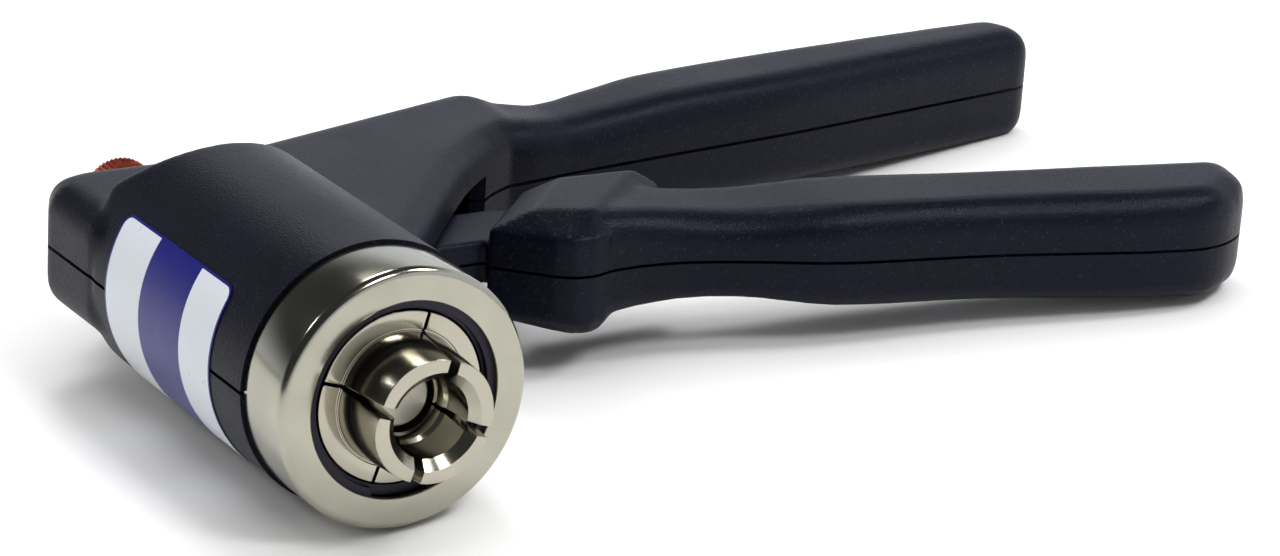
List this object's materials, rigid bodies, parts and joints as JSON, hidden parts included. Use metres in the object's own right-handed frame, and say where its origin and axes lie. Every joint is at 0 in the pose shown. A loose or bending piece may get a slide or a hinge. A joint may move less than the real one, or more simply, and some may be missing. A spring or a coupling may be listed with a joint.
{
  "type": "vial decapper",
  "caption": "Hand-held vial decapper: tilting jaws in a plated ring, moulded casing with a rigid handle, a squeeze lever and an adjusting knob behind.",
  "frame": {"origin": "centre of the jaw mouth's bore, where its parallel wall begins", "axes": "+Y runs back along the head's axis, +X points along the handles, +Z is square to the plane in which the lever swings"},
  "size_m": [0.2029, 0.1171, 0.041],
  "materials": {
    "black_plastic": "fine-textured glass-filled nylon",
    "nickel": "warm bright nickel plate",
    "jaw_steel": "turned and plated steel",
    "bright_steel": "ground steel",
    "spring_steel": "tempered spring steel",
    "dark_steel": "black oxide steel",
    "screw_steel": "blackened screws",
    "brass": "turned brass",
    "red_anodised": "orange-red anodised aluminium",
    "label_film": "printed film, plain bands"
  },
  "bodies": {
    "housing": {"upper_body_shell": "black_plastic", "lower_body_shell": "black_plastic", "front_ring": "nickel", "jaw_carrier": "dark_steel", "carrier_snap_ring": "dark_steel", "plunger_guide_bush": "brass", "knob_bush": "brass", "body_screws": "screw_steel", "side_label": "label_film", "pivot_pin": "bright_steel", "pivot_washers": "bright_steel", "return_spring": "spring_steel", "jaw_garter_spring": "spring_steel"},
    "lever": {"lever_core": "dark_steel", "lever_shell_upper": "black_plastic", "lever_shell_lower": "black_plastic", "lever_screws": "screw_steel", "pivot_bush": "brass", "roller_pin": "bright_steel"},
    "roller": {"arm_roller": "bright_steel"},
    "plunger": {"plunger_head": "jaw_steel", "push_rod": "bright_steel", "spreading_cone": "bright_steel", "rod_spring_clip": "spring_steel"},
    "knob": {"adjusting_knob": "red_anodised", "knob_clip": "spring_steel"},
    "stop_pin": {"stop_pin": "bright_steel"},
    "jaw_1": {"jaw_1": "jaw_steel"},
    "jaw_2": {"jaw_2": "jaw_steel"},
    "jaw_3": {"jaw_3": "jaw_steel"},
    "jaw_4": {"jaw_4": "jaw_steel"}
  },
  "joints": [
    {"name": "lever_pivot", "type": "hinge", "parent": "housing", "child": "lever", "pos_m": [0.018, 0.0716, 0], "axis": [0, 0, 1], "range_deg": [0, 18], "stiffness_Nm_per_rad": 2, "springref_deg": -14.32},
    {"name": "roller_spin", "type": "hinge", "parent": "lever", "child": "roller", "pos_m": [0, 0.0716, 0], "axis": [0, 0, 1], "continuous": true},
    {"name": "plunger_slide", "type": "slide", "parent": "housing", "child": "plunger", "axis": [0, -1, 0], "range_m": [0, 0.00566], "deforming": ["return_spring"]},
    {"name": "knob_turn", "type": "hinge", "parent": "housing", "child": "knob", "pos_m": [0, 0.1, 0], "axis": [0, 1, 0], "range_deg": [0, 720]},
    {"name": "stop_pin_slide", "type": "slide", "parent": "housing", "child": "stop_pin", "axis": [0, 1, 0], "range_m": [0, 0.00161]},
    {"name": "jaw_1_tilt", "type": "hinge", "parent": "housing", "child": "jaw_1", "pos_m": [0.0098, 0.0126, 0.00499], "axis": [0.454, 0, -0.891], "range_deg": [0, 4.4], "deforming": ["jaw_garter_spring"]},
    {"name": "jaw_2_tilt", "type": "hinge", "parent": "housing", "child": "jaw_2", "pos_m": [-0.00499, 0.0126, 0.0098], "axis": [0.891, 0, 0.454], "range_deg": [0, 4.4]},
    {"name": "jaw_3_tilt", "type": "hinge", "parent": "housing", "child": "jaw_3", "pos_m": [-0.0098, 0.0126, -0.00499], "axis": [-0.454, 0, 0.891], "range_deg": [0, 4.4]},
    {"name": "jaw_4_tilt", "type": "hinge", "parent": "housing", "child": "jaw_4", "pos_m": [0.00499, 0.0126, -0.0098], "axis": [-0.891, 0, -0.454], "range_deg": [0, 4.4]}
  ],
  "couplings": [
    {"joint": "plunger_slide", "follows": "lever_pivot", "m_per_rad": 0.018},
    {"joint": "stop_pin_slide", "follows": "knob_turn", "m_per_rad": 0.00012732},
    {"joint": "jaw_1_tilt", "follows": "lever_pivot", "ratio": 0.24444},
    {"joint": "jaw_2_tilt", "follows": "lever_pivot", "ratio": 0.24444},
    {"joint": "jaw_3_tilt", "follows": "lever_pivot", "ratio": 0.24444},
    {"joint": "jaw_4_tilt", "follows": "lever_pivot", "ratio": 0.24444}
  ]
}
